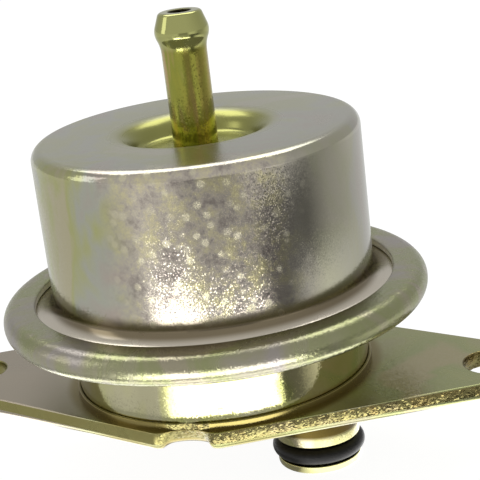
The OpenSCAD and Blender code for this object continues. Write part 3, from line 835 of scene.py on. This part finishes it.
# A bearing is a share of the full circle: 0.5 is straight ahead (-Y), and more is towards the spigot (+X)
POOL_FAN = ((0.428, 0), (0.448, 1), (0.625, 1), (0.645, 0))
GROUND_NEAR = ((0.2, 0.75), (0.36, 0.95), (0.38, 0.85), (0.415, 0.85), (0.425, 1.2), (0.45, 0.9), (0.5, 0.7),
               (0.62, 0.5), (0.65, 0.08), (0.68, 0.12), (0.715, 0.9), (0.76, 1.3), (0.8, 1.1), (0.88, 0.75))
GROUND_FAR = ((0.2, 0.75), (0.34, 0.85), (0.37, 0.78), (0.415, 0.78), (0.425, 1.1), (0.44, 0.95), (0.47, 0.72),
              (0.55, 0.62), (0.62, 0.42), (0.65, 0.08), (0.735, 0.08), (0.79, 0.5), (0.88, 0.72))
GROUND_EDGE = ((0.2, 0.85), (0.42, 0.9), (0.49, 1.0), (0.515, 0.4), (0.6, 0.35), (0.63, 1.1), (0.69, 1.0),
               (0.74, 0.45), (0.8, 0.5), (0.88, 0.85))
# Levels of the close rings by distance from the axis, and where each ground goes over into the next, in mm
CLOSE_R = 45
CLOSE = ((9.5, 0.35), (12.5, 4.2), (16, 4.2), (21, 3.2), (22.5, 0.6), (24.5, 0.6), (27, 4.5), (32, 4.5),
         (36, 0.5))
CLOSE_TO_NEAR = (43, 47)
NEAR_TO_FAR = (100, 135)
FAR_TO_EDGE = (180, 230)
# The paper glows for the camera, and keeps a share of matt white that shows the part's shadow
PAPER_GLOW = 1.07
PAPER_GLOW_SHARE = 0.88
PAPER_MATT = (0.92, 0.92, 0.92, 1)
ROOM_FRONT, ROOM_BACK = 0.8, 0.62
ROOM_TURN = (-0.7, 0.3)
ROOM_PLAIN = 0.6
FLOOR_R = 4000
FLOOR_STEPS = 96

world = bpy.data.worlds.new("studio")
bpy.context.scene.world = world
world.use_nodes = True
sky = world.node_tree
sky.nodes.clear()
path = node(sky, "ShaderNodeLightPath")
mirrored = node(sky, "ShaderNodeMath", {"operation": "MAXIMUM"}, i0=path.outputs["Is Glossy Ray"],
                i1=path.outputs["Is Transmission Ray"]).outputs[0]
way = node(sky, "ShaderNodeTexCoord").outputs["Generated"]
heading = node(sky, "ShaderNodeSeparateXYZ", Vector=way).outputs["Y"]
room = node(sky, "ShaderNodeMapRange", Value=heading, From_Min=ROOM_TURN[0], From_Max=ROOM_TURN[1],
            To_Min=ROOM_FRONT, To_Max=ROOM_BACK).outputs["Result"]
plain = node(sky, "ShaderNodeMapRange", Value=path.outputs["Is Camera Ray"], To_Min=ROOM_PLAIN,
             To_Max=1.0).outputs["Result"]
level = node(sky, "ShaderNodeMix", {"data_type": "FLOAT"}, i0=mirrored, i2=plain, i3=room).outputs[0]
glow = node(sky, "ShaderNodeBackground", Color=(1, 1, 1, 1), Strength=level)
node(sky, "ShaderNodeOutputWorld", Surface=glow.outputs[0])


def greys(tones, full=1):
    """Colour stops from (place, grey level) pairs, whose places run up to full."""
    return [(at / full, (tone, tone, tone, 1)) for at, tone in tones]


paper, tree = new_material("paper_white_painted_reflections")
path = node(tree, "ShaderNodeLightPath")
mirrored = node(tree, "ShaderNodeMath", {"operation": "MAXIMUM"}, i0=path.outputs["Is Glossy Ray"],
                i1=path.outputs["Is Transmission Ray"]).outputs[0]
seen = node(tree, "ShaderNodeMath", {"operation": "MAXIMUM"}, i0=path.outputs["Is Camera Ray"],
            i1=mirrored).outputs[0]
where = node(tree, "ShaderNodeTexCoord").outputs["Object"]
far = node(tree, "ShaderNodeVectorMath", {"operation": "LENGTH"}, i0=where).outputs["Value"]
spot = node(tree, "ShaderNodeSeparateXYZ", Vector=where)
ahead_y = node(tree, "ShaderNodeMath", {"operation": "MULTIPLY"}, i0=spot.outputs["Y"], i1=-1.0).outputs[0]
angle = node(tree, "ShaderNodeMath", {"operation": "ARCTAN2"}, i0=spot.outputs["X"], i1=ahead_y).outputs[0]
bearing = node(tree, "ShaderNodeMapRange", Value=angle, From_Min=-math.pi, From_Max=math.pi).outputs["Result"]
# The pool lies in a fan in front, and reaches a little further on the left
fan = node(tree, "ShaderNodeValToRGB", Fac=bearing, stops=greys(POOL_FAN)).outputs["Color"]
pool_end = node(tree, "ShaderNodeMapRange", {"interpolation_type": "SMOOTHSTEP"}, Value=angle,
                From_Min=math.radians(POOL_SIDES_DEG[0]), From_Max=math.radians(POOL_SIDES_DEG[1]),
                To_Min=POOL_LEFT * MM, To_Max=POOL_RIGHT * MM).outputs["Result"]
within = node(tree, "ShaderNodeMath", {"operation": "SUBTRACT"}, i0=pool_end, i1=far).outputs[0]
within = node(tree, "ShaderNodeMapRange", {"interpolation_type": "SMOOTHSTEP"}, Value=within,
              From_Min=-POOL_SOFT * MM, From_Max=POOL_SOFT * MM).outputs["Result"]
pool = node(tree, "ShaderNodeMath", {"operation": "MULTIPLY"}, i0=fan, i1=within).outputs[0]
# The rings, then the three grounds, each going over into the next
away = node(tree, "ShaderNodeMath", {"operation": "DIVIDE"}, i0=far, i1=CLOSE_R * MM).outputs[0]
close = node(tree, "ShaderNodeValToRGB", Fac=away, stops=greys(CLOSE, CLOSE_R)).outputs["Color"]
near, farther, edge = (node(tree, "ShaderNodeValToRGB", Fac=bearing, stops=greys(tones)).outputs["Color"]
                       for tones in (GROUND_NEAR, GROUND_FAR, GROUND_EDGE))
past_close, past_near, past_far = (
    node(tree, "ShaderNodeMapRange", {"interpolation_type": "SMOOTHSTEP"}, Value=far, From_Min=start * MM,
         From_Max=end * MM).outputs["Result"] for start, end in (CLOSE_TO_NEAR, NEAR_TO_FAR, FAR_TO_EDGE))
ground = node(tree, "ShaderNodeMix", {"data_type": "FLOAT"}, i0=past_near, i2=near, i3=farther).outputs[0]
ground = node(tree, "ShaderNodeMix", {"data_type": "FLOAT"}, i0=past_far, i2=ground, i3=edge).outputs[0]
ground = node(tree, "ShaderNodeMix", {"data_type": "FLOAT"}, i0=past_close, i2=close, i3=ground).outputs[0]
pool = node(tree, "ShaderNodeMath", {"operation": "MULTIPLY"}, i0=pool, i1=past_close).outputs[0]
shine = node(tree, "ShaderNodeMix", {"data_type": "FLOAT"}, i0=pool, i2=ground, i3=POOL_LEVEL).outputs[0]
shine = node(tree, "ShaderNodeMix", {"data_type": "FLOAT"}, i0=mirrored, i2=PAPER_GLOW, i3=shine).outputs[0]
matt = node(tree, "ShaderNodeBsdfDiffuse", Color=PAPER_MATT)
lit = node(tree, "ShaderNodeEmission", Color=(1, 1, 1, 1), Strength=shine)
share = node(tree, "ShaderNodeMapRange", Value=seen, To_Min=0.0, To_Max=PAPER_GLOW_SHARE).outputs["Result"]
both = node(tree, "ShaderNodeMixShader", i0=share, i1=matt.outputs[0], i2=lit.outputs[0])
node(tree, "ShaderNodeOutputMaterial", Surface=both.outputs[0])
floor_edge = arc((0, 0), FLOOR_R, 0, math.tau, FLOOR_STEPS)[:-1]
floor_mesh = mesh_from([(x, y, 0) for x, y in floor_edge], [tuple(range(FLOOR_STEPS))])
floor = bpy.data.objects.new("floor", floor_mesh)
floor.location.z = SPIGOT_LO.z * MM
floor.data.materials.append(paper)
bpy.context.scene.collection.objects.link(floor)

# Camera at the photograph's angle
AZIMUTH, ELEVATION, ROLL = (math.radians(v) for v in (15.11, 17.37, 6.98))
DISTANCE = 172.26 * MM
AIM = Vector((0, 0, 17.85 * MM))
ASIDE = (-3.645 * MM, -0.16 * MM)
FOCAL_PX = 1473.4
PHOTO_PX = 480
SENSOR = 36.0
back = Vector((math.sin(AZIMUTH) * math.cos(ELEVATION), -math.cos(AZIMUTH) * math.cos(ELEVATION),
               math.sin(ELEVATION)))
level_right = Vector((math.cos(AZIMUTH), math.sin(AZIMUTH), 0))
level_up = back.cross(level_right)
right = math.cos(ROLL) * level_right - math.sin(ROLL) * level_up
up = math.sin(ROLL) * level_right + math.cos(ROLL) * level_up
camera = bpy.data.objects.new("camera", bpy.data.cameras.new("camera"))
camera.data.lens = FOCAL_PX / PHOTO_PX * SENSOR
camera.data.sensor_width = SENSOR
camera.data.clip_start = 0.01
camera.location = AIM + back * DISTANCE - right * ASIDE[0] - up * ASIDE[1]
camera.rotation_euler = Matrix((right, up, back)).transposed().to_euler()
bpy.context.scene.collection.objects.link(camera)
bpy.context.scene.camera = camera


def soft_box(name, place, target, size, radiance):
    """A soft box, sizes in mm: its power gives the radiance that a mirror would show."""
    lamp = bpy.data.lights.new(name, "AREA")
    lamp.shape = "RECTANGLE"
    lamp.size, lamp.size_y = size[0] * MM, size[1] * MM
    lamp.energy = radiance * math.pi * lamp.size * lamp.size_y
    made = bpy.data.objects.new(name, lamp)
    made.location = Vector(place) * MM
    made.rotation_euler = (Vector(target) * MM - made.location).to_track_quat("-Z", "Y").to_euler()
    bpy.context.scene.collection.objects.link(made)


BODY_MIDDLE = (0, 0, 15)
soft_box("overhead_box", (-60, 170, 440), BODY_MIDDLE, (560, 260), 3.0)
soft_box("left_box", (-420, -160, 180), BODY_MIDDLE, (160, 300), 1.3)

bpy.context.scene.view_settings.view_transform = "Standard"
